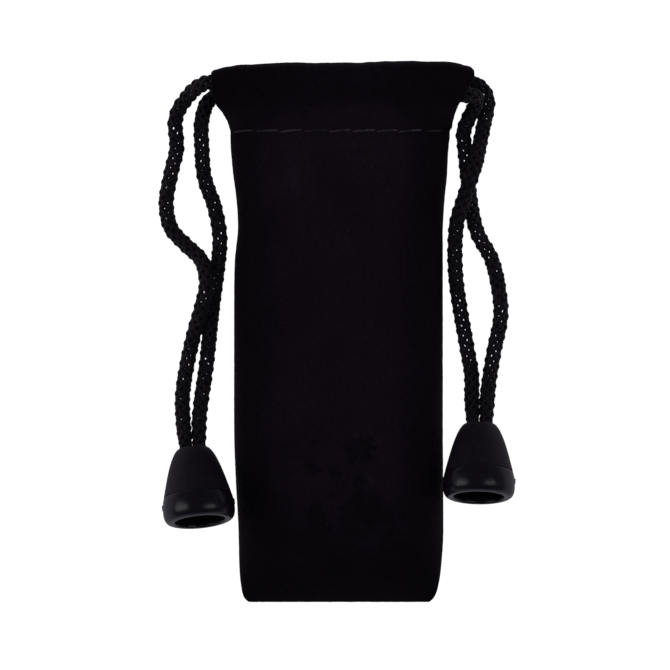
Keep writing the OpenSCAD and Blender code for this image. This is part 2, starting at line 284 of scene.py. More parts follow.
def braid(name, points, scale, step, pitch=PITCH, seed=0.0):
    """Two sets of flat yarns, wound opposite ways and woven over and under each other, in a hollow cord.
    Looked at from above, the gaps between yarns line up through the cord in two columns."""
    side, up = route_frames(points)
    s = np.arange(len(points)) * step
    radius = BRAID_HALF - WEAVE_DEPTH - YARN_THICKNESS / 2
    twist = PORE_TURN + TWIST_DRIFT * drift(s, seed, TWIST_REACH)
    turned = 2 * math.pi * s / pitch
    vertices, marks = [], []
    ring = 2 * math.pi * np.arange(YARN_SIDES) / YARN_SIDES
    for way in (1, -1):
        for k in range(YARNS):
            number = seed + k + 10.0 * way
            angle = way * turned + 2 * math.pi * k / YARNS + twist
            angle = angle + YARN_DRIFT * drift(s, number, YARN_REACH)
            out = BRAID_FLATNESS * np.cos(angle)[:, None] * up + np.sin(angle)[:, None] * side
            woven = radius + way * WEAVE_DEPTH * np.cos(YARNS * turned)
            middle = points + out * (woven * scale)[:, None]
            ahead = unit(np.gradient(middle, axis=0))
            wide = unit(np.cross(ahead, out))
            thick = np.cross(wide, ahead)
            fullness = scale * (1 + WIDTH_DRIFT * drift(s, number + 3.0, WIDTH_REACH))
            for a in ring:
                flat = math.cos(a) * YARN_WIDTH / 2
                proud = math.sin(a) * YARN_THICKNESS / 2
                vertices.append(middle + (flat * fullness)[:, None] * wide + (proud * scale)[:, None] * thick)
                marks.append(np.stack([np.full(len(s), a / AROUND), s / YARN_MARK, np.full(len(s), number)], 1))
    count = len(points)
    faces = []
    i, j = np.meshgrid(np.arange(YARN_SIDES), np.arange(count - 1), indexing="ij")
    for n in range(2 * YARNS):
        first = n * YARN_SIDES * count
        here, there = first + i * count + j, first + (i + 1) % YARN_SIDES * count + j
        faces += [*np.stack([here, there, there + 1, here + 1], -1).reshape(-1, 4)]
        faces.append(tuple(first + k * count for k in range(YARN_SIDES))[::-1])
        faces.append(tuple(first + k * count + count - 1 for k in range(YARN_SIDES)))
    piece = mesh_piece(name, np.vstack(vertices), faces)
    face_outwards(piece)
    keep_attribute(piece, "yarn", np.vstack(marks))
    return piece


def make_drawcord(side, route):
    """One braided cord, out of its bell's hole and back to the knot, with its route and its length."""
    points, length = smooth_route(route, STEP)
    step = length / (len(points) - 1)
    hole = BELLS[side]["hole"]
    piece = braid(f"{side}_braided_cord", points, cord_scale(points, hole), step, seed=hole[0] * 100)
    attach(piece, f"{side}_cord")
    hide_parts(f"{side}_drawcord")
    return piece, points, length


cords = {"left": make_drawcord("left", LEFT_ROUTE), "right": make_drawcord("right", RIGHT_ROUTE)}


# ---------------------------------------------------------------- cloth
# Half widths up the pouch, one list for each side, and the line of the mouth's edge. Millimetres.
LEFT_EDGE = [
    (-90, 30.0), (-89.2, 31.2), (-88, 31.8), (-84, 32.6), (-64, 33.4), (-50, 34.2), (-30, 34.8), (8, 34.8),
    (24, 34.5), (35, 33.5), (44, 34.0), (52, 35.0), (60, 35.7), (66, 36.1), (69.5, 36.8), (73, 38.6),
    (75.5, 40.4), (78, 41.8), (82, 42.4), (90, 42.5),
]
RIGHT_EDGE = [
    (-90, 29.7), (-89.2, 30.8), (-88, 31.6), (-84, 32.8), (-78, 33.6), (-66, 34.3), (-36, 34.1), (8, 34.1),
    (32, 34.1), (44, 34.7), (52, 35.6), (60, 36.0), (67, 36.9), (71, 37.9), (74, 38.9), (77, 40.3), (80, 42.0),
    (83, 43.2), (86, 44.6), (90, 44.9),
]
MOUTH_EDGE = [
    (-42.8, 84.2), (-42.3, 85.6), (-40, 86.8), (-36, 87.7), (-26, 88.4), (-8, 88.7), (8, 88.9), (20, 89.2),
    (30, 89.3), (37, 88.9), (41, 88.1), (44.2, 86.9), (45.0, 85.0),
]
# How far the front's edge rolls over, and the angle whose cosine is a turned edge's thinnest share.
FRONT_TURN = 0.9 * MM
EDGE_THINS = 1.45
# Points of the cloth: across it, over each turned edge, and in rows from the foot to the end of the facing.
COLUMNS = 121
EDGE_STEPS = 5
FOOT_ROWS, BODY_ROWS, BELOW_ROWS, ABOVE_ROWS, CASING_ROWS, FOLD_ROWS, FACING_ROWS = 12, 124, 13, 15, 12, 15, 24
FOOT_CLOSE, BELOW_CLOSE, ABOVE_CLOSE = 10 * MM, 6 * MM, 8 * MM
FOLD = CASING_HEIGHT / 2
# The facing is the casing's inner layer. These are its half width, how soon below the fold and above the
# stitch line it has that, how far above the line it ends, and how far above it the casing is fully open.
FACING_HALF = 35 * MM
FACING_TURN = 3 * MM
FACING_STARTS = 6 * MM
FACING_ENDS = 0.6 * MM
CASING_OPENS = 9 * MM
# The front's crown across the body, (1 - x ** CROWN_SQUARE) ** CROWN_ROUND, and its rise from the foot.
CROWN_SQUARE = 4.2
CROWN_ROUND = 0.62
FOOT = 30 * MM
FOOT_ROUND = 0.85
# How high the front's edge lies over the table, low on the body and at the stitch line.
SEAM_LOW = 1.5 * CLOTH + 0.1 * MM
SEAM_HIGH = 3.2 * CLOTH
SEAM_RISES = 12 * MM
# The back lies a little inside the front's edge, more so just above the foot.
BACK_INSET = 0.15 * MM
BACK_FOOT_INSET = 0.55 * MM
BACK_FOOT = 3 * MM
# How much of the casing's width follows the body's spacing of columns, which is closer at the sides.
CASED_SHARE = 0.3
# Gathers in the casing: height, width, how slowly they change along the pouch, and where they start to show
# below the stitch line and over what length.
GATHER_HEIGHT, GATHER_WIDTH, GATHER_STRETCH = 0.42 * MM, 7.5 * MM, 0.18
GATHER_BELOW, GATHER_FADE = 28 * MM, 26 * MM
# Slack in the body: height, width, how far from the foot it is full, and how suddenly it ends at the sides.
SLACK_HEIGHT, SLACK_WIDTH, SLACK_FOOT, SLACK_SIDE = 0.5 * MM, 38 * MM, 8 * MM, 6
PILE_HEIGHT, PILE_WIDTH = 0.07 * MM, 0.9 * MM
# The ridges over the cords in the casing, and the groove that the stitches pull in.
CORD_RUNS = (78 * MM, 83.5 * MM)
RIDGE_HEIGHT, RIDGE_WIDTH = 0.22 * MM, 1.9 * MM
STITCH_PITCH = 7.9 * MM
STITCH_LINE = STITCH - 0.5 * MM
GROOVE_DEPTH, GROOVE_WIDTH, GROOVE_VARIES = 0.5 * MM, 1.3 * MM, 0.25
# How far in from the outer layer (0) to the facing (1) there are ridges, the groove, and unevenness of pile.
RIDGED, GROOVED, PILED = 0.05, 0.5, 0.6
CREASE = math.radians(62)
# The velvet's material is told each point's place along the pouch in this unit.
ALONG_UNIT = 100 * MM


def noise_field(points, scale, seed):
    """Smooth noise of two octaves for a grid of points, between about -1 and 1."""
    flat = points.reshape(-1, 3) / scale + seed * np.array([13.7, 5.1, 9.3])
    return np.array([noise.fractal(tuple(p), 1.0, 2.0, 2) for p in flat]).reshape(points.shape[:-1])


def opened(y):
    """How far the casing has opened out, from 0 at its stitch line."""
    return ease((y - STITCH) / CASING_OPENS)


def cloth_columns():
    """Places across a cloth from -1 to 1, and a phase that runs from 0 to 1 over each turned edge."""
    main = np.linspace(-1, 1, COLUMNS)
    phase = np.linspace(0, 1, EDGE_STEPS + 1)[1:]
    place = np.concatenate([-np.ones(EDGE_STEPS), main, np.ones(EDGE_STEPS)])
    return place, np.concatenate([phase[::-1], 0 * main, phase])


def cloth_rows():
    """Rows up the body, up the casing's outer layer, round its fold and down its inner layer: the place along
    the pouch, the angle round the casing, and the phase over the turned edge at the bottom. Rows are closer at
    the foot and round the stitch line."""
    foot = BOTTOM + FOOT_CLOSE * (1 - np.cos(np.linspace(0, math.pi / 2, FOOT_ROWS)))
    below, above, straight = STITCH - BELOW_CLOSE, STITCH + ABOVE_CLOSE, TOP - FOLD
    body = [*foot, *np.linspace(foot[-1], below, BODY_ROWS)[1:], *np.linspace(below, STITCH, BELOW_ROWS)[1:]]
    up = [*np.linspace(STITCH, above, ABOVE_ROWS)[1:], *np.linspace(above, straight, CASING_ROWS)[1:]]
    round_fold = np.linspace(90, -90, FOLD_ROWS)[1:]
    down = np.linspace(straight, STITCH + FACING_ENDS, FACING_ROWS)[1:]
    rows = [(BOTTOM, 90.0, phase) for phase in np.linspace(1, 0, EDGE_STEPS + 1)[:-1]]
    rows += [(y, 90.0, 0.0) for y in (*body, *up)]
    rows += [(straight, angle, 0.0) for angle in round_fold]
    rows += [(y, -90.0, 0.0) for y in down]
    return np.array(rows)


def edge_at(x, edge):
    """A smooth curve through one of the lists of the outline."""
    knots, values = (np.array(edge) * MM).T
    return smooth_table(x, knots, values)


def half_width(y, place):
    """How wide the cloth is on the side of a place across it."""
    return np.where(place > 0, edge_at(y, RIGHT_EDGE), edge_at(y, LEFT_EDGE))


def edge_roll(phase):
    """Over a turned edge, how far the cloth has gone in and how much of its rise is left, from 0 to 1."""
    angle = (1 - phase) * math.pi / 2
    return 1 - np.sin(angle), 1 - np.cos(angle)


def cloth_grid(front):
    """The middle of one cloth as a grid of points. With each point goes its share of the half width, its place
    along the pouch, how far it is inside the casing, and half the cloth's thickness there."""
    place, edge = cloth_columns()
    rows = cloth_rows()
    shape = (len(rows), len(place))
    y, angle, foot_edge = (np.broadcast_to(rows[:, k][:, None], shape) for k in range(3))
    place, edge = np.broadcast_to(place, shape), np.broadcast_to(edge, shape)
    angle = np.radians(angle)
    share = np.sin(place * math.pi / 2)
    opening = opened(y)
    round_edge = CLOTH / 2 * (1 - np.sin(edge * math.pi / 2))

    width = half_width(y, place)
    inside = np.clip(0.5 - np.degrees(angle) / 180, 0, 1)
    faced = ease((y - STITCH) / FACING_STARTS) * ease((TOP - FOLD - y) / FACING_TURN)
    facing = mix(width, FACING_HALF, faced)
    cased_width = np.where(inside > 0.5, np.minimum(width, facing), width) - round_edge
    inward, upward = edge_roll(edge)
    foot_inward, foot_upward = edge_roll(foot_edge)
    if front:
        body_x = np.abs(share) * width - FRONT_TURN * inward
        seam = mix(SEAM_LOW, SEAM_HIGH, ease((y - STITCH) / SEAM_RISES + 1))
        side = (1 - np.abs(share) ** CROWN_SQUARE) ** CROWN_ROUND
        foot = (1 - (1 - np.clip((y - BOTTOM) / FOOT, 0, 1)) ** 2) ** FOOT_ROUND
        rise = BODY_TOP - CLOTH / 2 - seam - FRONT_TURN
        body_z = seam + FRONT_TURN * upward * foot_upward + rise * side * foot
        foot_in = FRONT_TURN * foot_inward
        casing_middle = CASING_TOP - FOLD
        turn = 1
    else:
        body_x = np.abs(share) * (width - CLOTH / 2 - BACK_INSET) + CLOTH / 2 * np.sin(edge * math.pi / 2)
        body_z = CLOTH / 2 + 0 * y
        foot_in = BACK_INSET + CLOTH / 2 * (1 - np.sin(foot_edge * math.pi / 2))
        foot_in = np.where(y <= BOTTOM, foot_in, BACK_FOOT_INSET * (1 - ease((y - BOTTOM) / BACK_FOOT)))
        casing_middle = FOLD
        turn = -1
    cased_x = np.abs(mix(place, share, CASED_SHARE)) * cased_width
    x = np.sign(place) * mix(body_x, cased_x, opening)
    middle = mix(body_z - turn * CLOTH / 2, casing_middle, opening)
    loop = mix(CLOTH / 2, FOLD - CLOTH / 2, opening)
    z = np.where(y <= STITCH, body_z, middle + turn * loop * np.sin(angle))

    reach = (edge_at(x, MOUTH_EDGE) - STITCH) / (TOP - CLOTH / 2 - STITCH)
    up = y + (FOLD - CLOTH / 2) * np.cos(angle) * opening
    up = np.where(y > STITCH, STITCH + (up - STITCH) * reach, up + foot_in)
    at_side, at_foot = np.cos(edge * EDGE_THINS), np.cos(foot_edge * EDGE_THINS)
    thick = CLOTH / 2 * (mix(1.0, at_side, opening) if front else at_side * at_foot)
    return np.stack([x, up, z], -1), share, y, inside, thick


def ruffle(grid, share, y, inside, normals, seed):
    """Soft gathers in the casing, ridges over the cords in it, slack cloth, and a pinched line of stitches."""
    across = grid[..., 0]
    gathers = noise_field(np.stack([across, y * GATHER_STRETCH, 0 * y], -1), GATHER_WIDTH, seed)
    near = ease((y - (STITCH - GATHER_BELOW)) / GATHER_FADE)
    slack = noise_field(grid, SLACK_WIDTH, seed + 3)
    calm = (1 - np.abs(share) ** SLACK_SIDE) * ease((y - BOTTOM) / SLACK_FOOT)
    height = GATHER_HEIGHT * gathers * near + SLACK_HEIGHT * slack * (1 - near) * calm
    for run in CORD_RUNS:
        ridge = RIDGE_HEIGHT * np.exp(-(((y - run) / RIDGE_WIDTH) ** 2))
        height += np.where(inside < RIDGED, ridge, 0)
    dimples = 1 - GROOVE_VARIES + GROOVE_VARIES * np.cos(2 * math.pi * across / STITCH_PITCH)
    groove = GROOVE_DEPTH * np.exp(-(((y - STITCH_LINE) / GROOVE_WIDTH) ** 2)) * dimples
    height -= np.where(inside < GROOVED, groove, 0)
    return grid + normals * height[..., None]


def cloth_half(name, outer, inner, columns, cloth_place):
    """One half of a cloth as a closed sheet with real thickness."""
    outer, inner = outer[:, columns], inner[:, columns]
    rows, count = outer.shape[:2]
    half = rows * count
    faces = [*grid_faces(rows, count), *grid_faces(rows, count, half, flip=True)]
    r, c = np.arange(rows - 1), np.arange(count - 1)
    for edge, turn in ((r * count, 1), (r * count + count - 1, -1)):
        faces += [*np.stack([edge, edge + count, edge + count + half, edge + half], 1)[:, ::turn]]
    for edge, turn in ((c, -1), ((rows - 1) * count + c, 1)):
        faces += [*np.stack([edge, edge + 1, edge + 1 + half, edge + half], 1)[:, ::turn]]
    piece = mesh_piece(name, np.vstack([outer.reshape(-1, 3), inner.reshape(-1, 3)]), faces)
    face_outwards(piece)
    piece.data.set_sharp_from_angle(angle=CREASE)
    keep_attribute(piece, "cloth_place", np.vstack([cloth_place[:, columns].reshape(-1, 3)] * 2))
    return piece


def gather(piece, side):
    """Bakes a piece's placement into its points."""
    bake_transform(piece)


def make_cloth(face, seed):
    """Both halves of one cloth, and the line of its outer surface along the stitches."""
    turn = 1 if face == "front" else -1
    grid, share, y, inside, thick = cloth_grid(face == "front")
    if face == "front":
        grid = ruffle(grid, share, y, inside, grid_normals(grid), seed)
    normals = grid_normals(grid) * turn
    pile = noise_field(grid, PILE_WIDTH, seed + 7)
    outer = grid + normals * (thick + PILE_HEIGHT * pile * (inside < PILED))[..., None]
    inner = grid - normals * thick[..., None]
    if face == "back":
        outer[..., 2] = np.maximum(outer[..., 2], 0)
    # Each point's place on the cloth, which lays out the velvet's painted light and shade and its marks.
    cloth_place = np.stack([share, y / ALONG_UNIT, inside], -1)
    middle = grid.shape[1] // 2
    halves = {}
    for side, columns in (("left", slice(0, middle + 1)), ("right", slice(middle, None))):
        piece = cloth_half(f"{face}_velvet_{side}", outer, inner, columns, cloth_place)
        gather(piece, side)
        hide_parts(f"{face}_panel", f"{face}_casing")
        if face == "front":
            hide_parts(f"{side}_side_seam", "bottom_seam")
        halves[side] = piece
    row = int(np.argmin(np.abs(y[:, 0] - STITCH_LINE)))
    return halves, outer[row]


front_cloth, front_line = make_cloth("front", 1)
back_cloth, back_line = make_cloth("back", 2)


# ---------------------------------------------------------------- stitching
STITCH_LENGTH = 7.4 * MM
STITCH_COUNT = 9
STITCH_POINTS = 27
THREAD = 0.46 * MM
# The thread's plies: how often they turn in a stitch, and their distance out and half width in threads.
PLIES = 2
PLY_TURNS = 6
PLY_OUT = 0.45
PLY_HALF = 0.52
THREAD_SIDES = 6
# How much one stitch differs from the next: in place, in length, and in slant. All bow a little upwards.
STITCH_WANDERS = 0.2 * MM
STITCH_SHARE, STITCH_VARIES = 0.96, 0.06
SLANT, SLANT_VARIES = 0.3 * MM, 0.12 * MM
BOW = 0.16 * MM
# How deep the end stitches lie, with each stitch's own share, and how stitches stand on the cloth and dive in.
END_SINKS, SINK_VARIES = 0.5 * MM, 0.06 * MM
DIVE_ROUND = 0.4
FRONT_LIFT, FRONT_DIVE = 0.85 * THREAD, 0.9 * MM
BACK_LIFT, BACK_DIVE = 0.25 * MM, 0.35 * MM


def thread_run(middle):
    """One stitch of twisted thread along a line of points."""
    side, up = route_frames(middle)
    t = np.linspace(0, 1, len(middle))
    vertices, faces = [], []
    points = len(middle)
    for ply in range(PLIES):
        angle = 2 * math.pi * (t * PLY_TURNS + ply / PLIES)
        core = middle + THREAD * PLY_OUT * (np.cos(angle)[:, None] * side + np.sin(angle)[:, None] * up)
        first = ply * points * THREAD_SIDES
        for k in range(THREAD_SIDES):
            a = 2 * math.pi * k / THREAD_SIDES
            vertices.append(core + THREAD * PLY_HALF * (math.cos(a) * side + math.sin(a) * up))
        for j in range(points - 1):
            for k in range(THREAD_SIDES):
                here, there = first + k * points + j, first + (k + 1) % THREAD_SIDES * points + j
                faces.append((here, there, there + 1, here + 1))
        faces.append(tuple(first + k * points for k in range(THREAD_SIDES))[::-1])
        faces.append(tuple(first + k * points + points - 1 for k in range(THREAD_SIDES)))
    return np.vstack(vertices), faces


def join_parts(name, parts):
    """One piece from several (points, faces) pairs."""
    points, faces, first = [], [], 0
    for p, f in parts:
        points.append(p)
        faces += [tuple(first + i for i in face) for face in f]
        first += len(p)
    return mesh_piece(name, np.vstack(points), faces)


def make_stitching(face, line):
    """A row of stitches along the pinched line of a cloth, each diving in at both its ends."""
    top = face == "front"
    runs = {"left": [], "right": []}
    for i in range(STITCH_COUNT):
        middle_x = (i - (STITCH_COUNT - 1) / 2) * STITCH_PITCH + STITCH_WANDERS * math.sin(5.3 * i)
        length = STITCH_LENGTH * (STITCH_SHARE + STITCH_VARIES * math.sin(2.9 * i))
        t = np.linspace(0, 1, STITCH_POINTS)
        x = middle_x + (t - 0.5) * length
        tilt = SLANT + SLANT_VARIES * math.sin(3.7 * i)
        dive = np.sin(math.pi * t) ** DIVE_ROUND - 1
        outwards = abs(2 * i + 1 - STITCH_COUNT) / STITCH_COUNT
        sunk = END_SINKS * outwards ** 3 + SINK_VARIES * math.sin(4.1 * i)
        lift = (FRONT_LIFT - sunk + FRONT_DIVE * dive) if top else (BACK_LIFT - BACK_DIVE * dive)
        y = STITCH_LINE + tilt * (2 * t - 1) + BOW * np.sin(math.pi * t)
        z = np.interp(x, line[:, 0], line[:, 2]) + lift
        part = thread_run(np.stack([x, y, z], 1))
        runs["left" if i < STITCH_COUNT // 2 else "right"].append(part)
    for side, parts in runs.items():
        piece = join_parts(f"{face}_stitches_{side}", parts)
        gather(piece, side)
        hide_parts(f"{face}_casing_stitching")
        yield piece


front_stitches = dict(zip(("left", "right"), make_stitching("front", front_line)))
back_stitches = dict(zip(("left", "right"), make_stitching("back", back_line)))


# ---------------------------------------------------------------- bells
LEAN = 15.0
BELL_SIDES = 112
BELL_CREASE = math.radians(50)
# Each profile is a list of (radius, distance along the axis from the hole's end), in millimetres. Where the
# shell meets its ring, at 16.6, there is a fine gap.
BELL_OUTSIDE = [
    (4.55, 0.9), (4.7, 0.45), (5.1, 0.3), (5.6, 0.6), (6.4, 1.6), (7.35, 3.3), (8.4, 5.9), (9.35, 8.9),
    (10.15, 11.8), (10.8, 14.3), (11.25, 16.0), (11.32, 16.45), (11.2, 16.6),
]
BELL_INSIDE = [
    (10.2, 16.6), (10.2, 20.9), (9.1, 21.0), (9.3, 16.0), (8.9, 13.0), (7.9, 9.4), (6.6, 5.8), (4.7, 2.6),
    (4.5, 1.4),
]
RING_OUTSIDE = [
    (10.25, 16.66), (11.25, 16.67), (11.42, 16.8), (11.6, 17.4), (11.82, 18.6), (11.98, 20.2), (12.0, 21.6),
    (11.88, 22.9), (11.55, 24.0), (11.0, 24.75), (10.2, 25.15), (9.4, 25.25), (8.75, 25.2), (8.45, 24.9),
]
RING_INSIDE = [(8.4, 24.4), (8.4, 21.3), (8.55, 21.08), (10.25, 21.06)]
# The two lugs that hold the ring: how far out and along they are, their size, and their rounding.
LUG_OUT, LUG_ALONG = 11.1 * MM, 19.5 * MM
LUG_SIZE = (2.1 * MM, 2.4 * MM, 1.7 * MM)
LUG_BEVEL = 0.35 * MM
# The knot: its size, its loops' share of it, how far along the bell and how deep it is in millimetres, how
# hard its cord is pressed, and its braid's length of one whole turn.
KNOT_SIZE, KNOT_LOOPS = 1.16, 1.9
KNOT_ALONG, KNOT_DEPTH = 9.2, 2.1
KNOT_PRESSED = 0.72
KNOT_PITCH = 9 * MM


def refine(profile):
    """Rounds an open profile off by cutting its corners twice, keeping its ends."""
    p = np.array(profile, float)
    for _ in range(2):
        inner = np.empty((2 * (len(p) - 1), 2))
        inner[0::2] = 0.75 * p[:-1] + 0.25 * p[1:]
        inner[1::2] = 0.25 * p[:-1] + 0.75 * p[1:]
        p = np.vstack([p[:1], inner, p[-1:]])
    return p


def lathe(profile):
    """A closed profile, (radius, distance along the axis), turned about the bell's own axis."""
    p = np.array(profile) * MM
    turn = 2 * math.pi * np.arange(BELL_SIDES) / BELL_SIDES
    x = p[:, 0][None, :] * np.cos(turn)[:, None]
    y = p[:, 0][None, :] * np.sin(turn)[:, None]
    z = p[:, 1][None, :] + 0 * x
    points = np.stack([x, y, z], -1).reshape(-1, 3)
    count = len(p)
    faces = []
    for i in range(BELL_SIDES):
        for j in range(count):
            a, b = i * count + j, i * count + (j + 1) % count
            c, d = (i + 1) % BELL_SIDES * count + (j + 1) % count, (i + 1) % BELL_SIDES * count + j
            faces.append((a, b, c, d))
    return points, faces


def rounded_block(middle, size, bevel):
    """A small block with rounded edges, as (points, faces)."""
    work = bmesh.new()
    bmesh.ops.create_cube(work, size=1)
    bmesh.ops.scale(work, vec=size, verts=work.verts)
    bmesh.ops.bevel(
        work, geom=work.edges[:] + work.verts[:], offset=bevel, segments=3, profile=0.6, affect="EDGES",
    )
    bmesh.ops.translate(work, vec=middle, verts=work.verts)
    work.verts.index_update()
    points = np.array([v.co[:] for v in work.verts])
    faces = [tuple(v.index for v in f.verts) for f in work.faces]
    work.free()
    return points, faces


def on_bell(points, side):
    """Points from the bell's own axes, hole at the origin and mouth along +Z, to where the bell lies."""
    tilt = math.radians(90 - LEAN)
    turn = math.radians(BELLS[side]["turn"])
    about_x = np.array([[1, 0, 0], [0, math.cos(tilt), -math.sin(tilt)], [0, math.sin(tilt), math.cos(tilt)]])
    about_z = np.array([[math.cos(turn), -math.sin(turn), 0], [math.sin(turn), math.cos(turn), 0], [0, 0, 1]])
    return points @ (about_z @ about_x).T + BELLS[side]["hole"]


def place_on_bell(piece, side):
    """Moves a piece made on the bell's own axes to where it lies, keeping its own axes for its material."""
    local = np.array([v.co[:] for v in piece.data.vertices])
    keep_attribute(piece, "moulded", local * 1000)  # millimetres
    piece.data.vertices.foreach_set("co", on_bell(local, side).astype(np.float32).ravel())
    face_outwards(piece)
    piece.data.set_sharp_from_angle(angle=BELL_CREASE)


def make_bell(side):
    """A bell's shell with its two lugs, and its snap ring."""
    shell = lathe(np.vstack([refine(BELL_OUTSIDE), BELL_INSIDE]))
    lugs = [rounded_block((sign * LUG_OUT, 0, LUG_ALONG), LUG_SIZE, LUG_BEVEL) for sign in (-1, 1)]
    bell = join_parts(f"{side}_bell_shell", [shell, *lugs])
    ring = join_parts(f"{side}_bell_ring", [lathe(np.vstack([refine(RING_OUTSIDE), RING_INSIDE]))])
    for piece, node, slot in ((bell, f"{side}_bell", "bell"), (ring, f"{side}_snap_ring", "ring")):
        place_on_bell(piece, side)
        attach(piece, f"{side}_cord_end")
        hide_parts(node)
    return bell, ring


def make_knot(side):
    """An overhand knot tied in the doubled cord, pulled up small inside the bell."""
    t = np.linspace(0, 2 * math.pi, 150)
    x = (np.sin(t) + KNOT_LOOPS * np.sin(2 * t)) * KNOT_SIZE * MM
    y = (np.cos(t) - KNOT_LOOPS * np.cos(2 * t)) * KNOT_SIZE * MM
    z = (KNOT_ALONG - KNOT_DEPTH * np.sin(3 * t)) * MM
    loop = np.stack([x, y, z], 1)
    step = np.linalg.norm(np.diff(loop, axis=0), axis=1).mean()
    scale = np.full(len(t), KNOT_PRESSED)
    piece = braid(f"{side}_tied_knot", loop, scale, step, pitch=KNOT_PITCH)
    place_on_bell(piece, side)
    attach(piece, f"{side}_cord")
    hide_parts(f"{side}_knot")
    return piece


bells = {side: make_bell(side) for side in BELLS}
knots = {side: make_knot(side) for side in BELLS}

for side, (piece, points, length) in cords.items():
    tuple(BELLS[side]["hole"])
    [tuple(p) for p in (*points[:-2:3], points[-1])]
    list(bells[side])


# ---------------------------------------------------------------- materials
def new_material(name):
    """A material with its node tree and its shader."""
    material = bpy.data.materials.new(name)
    material.use_nodes = True
    tree = material.node_tree
    shader = tree.nodes["Principled BSDF"]
    return material, tree, shader


def add(tree, kind, **values):
    """A node with its properties set, and its inputs set by name where they exist."""
    node = tree.nodes.new(kind)
    for key, value in values.items():
        if hasattr(node, key):
            setattr(node, key, value)
        else:
            node.inputs[key.replace("_", " ")].default_value = value
    return node


def ramp(tree, source, stops):
    """A colour ramp on a source, from (position, grey or colour) stops."""
    node = tree.nodes.new("ShaderNodeValToRGB")
    elements = node.color_ramp.elements
    while len(elements) < len(stops):
        elements.new(0.5)
    for element, (at, colour) in zip(elements, stops):
        element.position = at
        element.color = (*colour, 1) if isinstance(colour, tuple) else (colour, colour, colour, 1)
    tree.links.new(source, node.inputs["Fac"])
    return node.outputs["Color"]


def math_node(tree, operation, *terms):
    """The result of a sum on terms that are each a number or another node's output."""
    node = add(tree, "ShaderNodeMath", operation=operation)
    for socket, term in zip(node.inputs, terms):
        if isinstance(term, (int, float)):
            socket.default_value = term
        else:
            tree.links.new(term, socket)
    return node.outputs[0]


def blend_colour(tree, kind, factor, a, b):
    """A mix of two colours, each a plain colour or another node's output."""
    node = add(tree, "ShaderNodeMix", data_type="RGBA", blend_type=kind)
    for name, term in (("Factor", factor), ("A", a), ("B", b)):
        socket = next(i for i in node.inputs if i.name == name and i.enabled)
        if isinstance(term, bpy.types.NodeSocket):
            tree.links.new(term, socket)
        else:
            socket.default_value = (*term, 1) if isinstance(term, tuple) else term
    return next(o for o in node.outputs if o.enabled)


def noise_node(tree, place, scale, detail, roughness=0.5):
    """A noise read at a place."""
    node = add(tree, "ShaderNodeTexNoise", Scale=scale, Detail=detail, Roughness=roughness)
    tree.links.new(place, node.inputs["Vector"])
    return node


def add_bump(tree, shader, height, strength, distance):
    """Roughens a shader's surface with a height."""
    bump = add(tree, "ShaderNodeBump", Strength=strength, Distance=distance)
    tree.links.new(height, bump.inputs["Height"])
    tree.links.new(bump.outputs["Normal"], shader.inputs["Normal"])


# The velvet's colour where it is painted lit, and where it is in painted shade; the pressed marks and the
# mottling also darken it towards the second.
VELVET_LIGHT = (0.0385, 0.0245, 0.042)
VELVET_DARK = (0.0155, 0.0115, 0.0175)
# Each noise: its scale, detail and roughness. Each shade: the noise it follows, and its darkest and lightest.
VELVET_NOISES = {
    "broad": (55.0, 3.0, 0.5), "marks": (120.0, 3.0, 0.5), "warp": (330.0, 4.0, 0.6),
    "tufts": (1300.0, 4.0, 0.65), "grain": (4200.0, 2.0, 0.6),
}
VELVET_SHADES = (("broad", 0.86, 1.12), ("tufts", 0.72, 1.28), ("grain", 0.85, 1.15))
# Painted light over the middle of the body and painted shade down its sloping sides, from the left edge (0) to
# the right (1); and a tone from the foot to the mouth: dark at the foot, lightest high on the body, darker
# again towards the mouth.
PAINTED_LIGHT_ACROSS = [
    (0.06, 0.0), (0.11, 0.08), (0.16, 0.38), (0.21, 0.68), (0.256, 0.84), (0.31, 1.0), (0.72, 1.0), (0.75, 0.9),
    (0.79, 0.75), (0.838, 0.47), (0.887, 0.26), (0.936, 0.18), (1.0, 0.15),
]
TONE_ALONG = [
    (0.1, 0.0), (0.15, 0.25), (0.2, 0.53), (0.3, 0.74), (0.4, 0.70), (0.5, 0.72), (0.62, 0.64), (0.7, 0.72),
    (0.75, 0.84), (0.81, 1.0), (0.85, 0.85), (0.885, 0.22),
]
PLACE_WANDER = 0.12
FOOT_SHADE = [(0.07, 0.66), (0.2, 1.0)]
# Mottling low on the body: how strong it is from the foot upwards, and how it follows its noise.
LOW_DOWN = [(0.1, 0.35), (0.2, 1.0), (0.34, 0.8), (0.44, 0.0)]
MOTTLE = [(0.5, 0.0), (0.62, 0.4)]
# Where the pile low on the body is pressed the other way: middle across, middle along, and half of each size.
MARKS = [
    (0.23, -0.604, 0.30, 0.076), (-0.2, -0.632, 0.12, 0.055), (-0.26, -0.46, 0.075, 0.026),
    (-0.07, -0.474, 0.06, 0.02), (0.12, -0.41, 0.07, 0.04), (0.27, -0.40, 0.08, 0.046), (0.2, -0.5, 0.05, 0.05),
]
# How far noise shifts the marks, how ragged it makes their edges, and how dark they are from the middle out.
MARK_WARP = (0.36, 0.12, 0)
MARK_RAGGED = 1.6
PRESSED = [(0.3, 0.8), (0.64, 0.0)]


def mark_distance(tree, place, mark):
    """How far a place on the cloth is from a mark, with 1 at the mark's edge."""
    x, y, half_x, half_y = mark
    scaled = add(tree, "ShaderNodeVectorMath", operation="MULTIPLY_ADD")
    tree.links.new(place, scaled.inputs[0])
    scaled.inputs[1].default_value = (1 / half_x, 1 / half_y, 0)
    scaled.inputs[2].default_value = (-x / half_x, -y / half_y, 0)
    length = add(tree, "ShaderNodeVectorMath", operation="LENGTH")
    tree.links.new(scaled.outputs["Vector"], length.inputs[0])
    return length.outputs["Value"]


